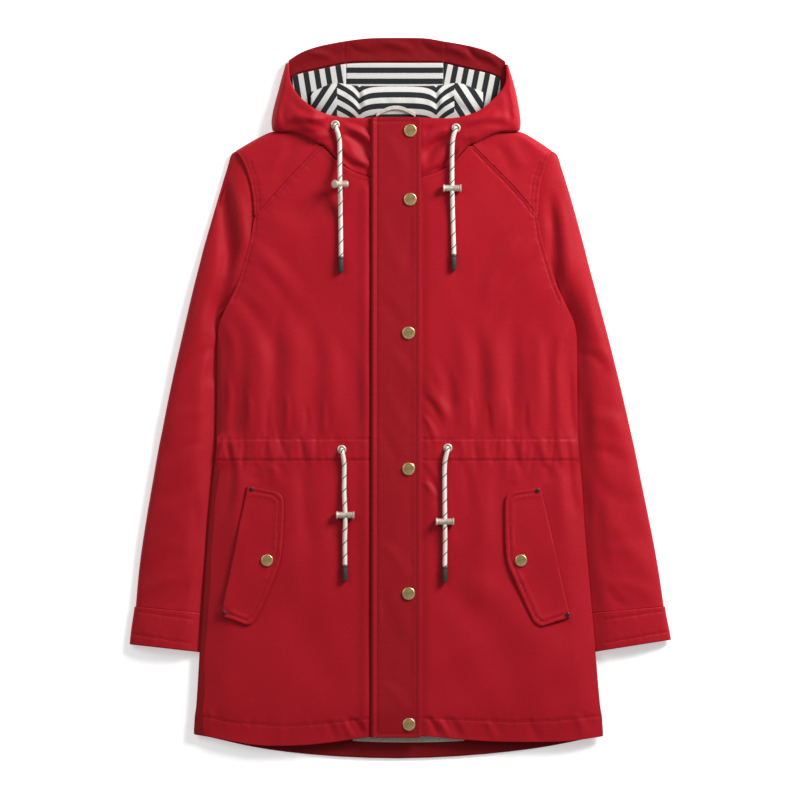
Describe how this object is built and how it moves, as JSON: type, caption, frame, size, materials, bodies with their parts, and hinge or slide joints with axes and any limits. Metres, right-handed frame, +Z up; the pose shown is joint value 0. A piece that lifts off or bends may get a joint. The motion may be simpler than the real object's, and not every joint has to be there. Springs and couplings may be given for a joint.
{
  "type": "hooded raincoat",
  "caption": "Hooded raincoat laid flat face up: storm flap with snaps, drawn waist, slanted pocket flaps, striped hood lining and drawcords with toggles.",
  "frame": {"origin": "on the surface that the coat lies on, under the middle of its outline without the cords", "axes": "+X to the viewer's right, +Y from the hem to the hood, +Z up from the surface"},
  "size_m": [0.704, 0.941, 0.0409],
  "materials": {
    "shell_fabric": "coated cotton, soft sheen",
    "lining_fabric": "jersey in black and pale grey stripes",
    "cream_fabric": "plain cotton",
    "snap_metal": "antique, brushed",
    "fitting_metal": "antique, satin",
    "cord_fabric": "braided, with dark flecks",
    "tip_plastic": "satin",
    "rivet_metal": "dark, satin"
  },
  "bodies": {
    "root": {"back": "shell_fabric", "front_left": "shell_fabric", "front_right": "shell_fabric", "yoke_left": "shell_fabric", "yoke_right": "shell_fabric", "sleeve_left": "shell_fabric", "sleeve_right": "shell_fabric", "cuff_left": "shell_fabric", "cuff_right": "shell_fabric", "pocket_flap_left": "shell_fabric", "pocket_flap_right": "shell_fabric", "placket": "shell_fabric", "hood_left": "shell_fabric", "hood_right": "shell_fabric", "hood_left_back": "shell_fabric", "hood_centre": "shell_fabric", "hood_right_back": "shell_fabric", "hood_facing": "shell_fabric", "lining_left": "lining_fabric", "lining_centre": "lining_fabric", "lining_right": "lining_fabric", "lining_neck": "lining_fabric", "lining_hem": "cream_fabric", "hanger_loop": "cream_fabric", "snap_1": "snap_metal", "snap_2": "snap_metal", "snap_3": "snap_metal", "snap_4": "snap_metal", "snap_5": "snap_metal", "snap_6": "snap_metal", "flap_snap_left": "snap_metal", "flap_snap_right": "snap_metal", "eyelet_hood_left": "fitting_metal", "eyelet_hood_right": "fitting_metal", "eyelet_waist_left": "fitting_metal", "eyelet_waist_right": "fitting_metal", "toggle_hood_left": "fitting_metal", "toggle_hood_right": "fitting_metal", "toggle_waist_left": "fitting_metal", "toggle_waist_right": "fitting_metal", "cord_hood_left": "cord_fabric", "cord_hood_right": "cord_fabric", "cord_waist_left": "cord_fabric", "cord_waist_right": "cord_fabric", "cord_tip_hood_left": "tip_plastic", "cord_tip_hood_right": "tip_plastic", "cord_tip_waist_left": "tip_plastic", "cord_tip_waist_right": "tip_plastic", "flap_rivet_left_1": "rivet_metal", "flap_rivet_left_2": "rivet_metal", "flap_rivet_right_1": "rivet_metal", "flap_rivet_right_2": "rivet_metal"}
  },
  "joints": []
}
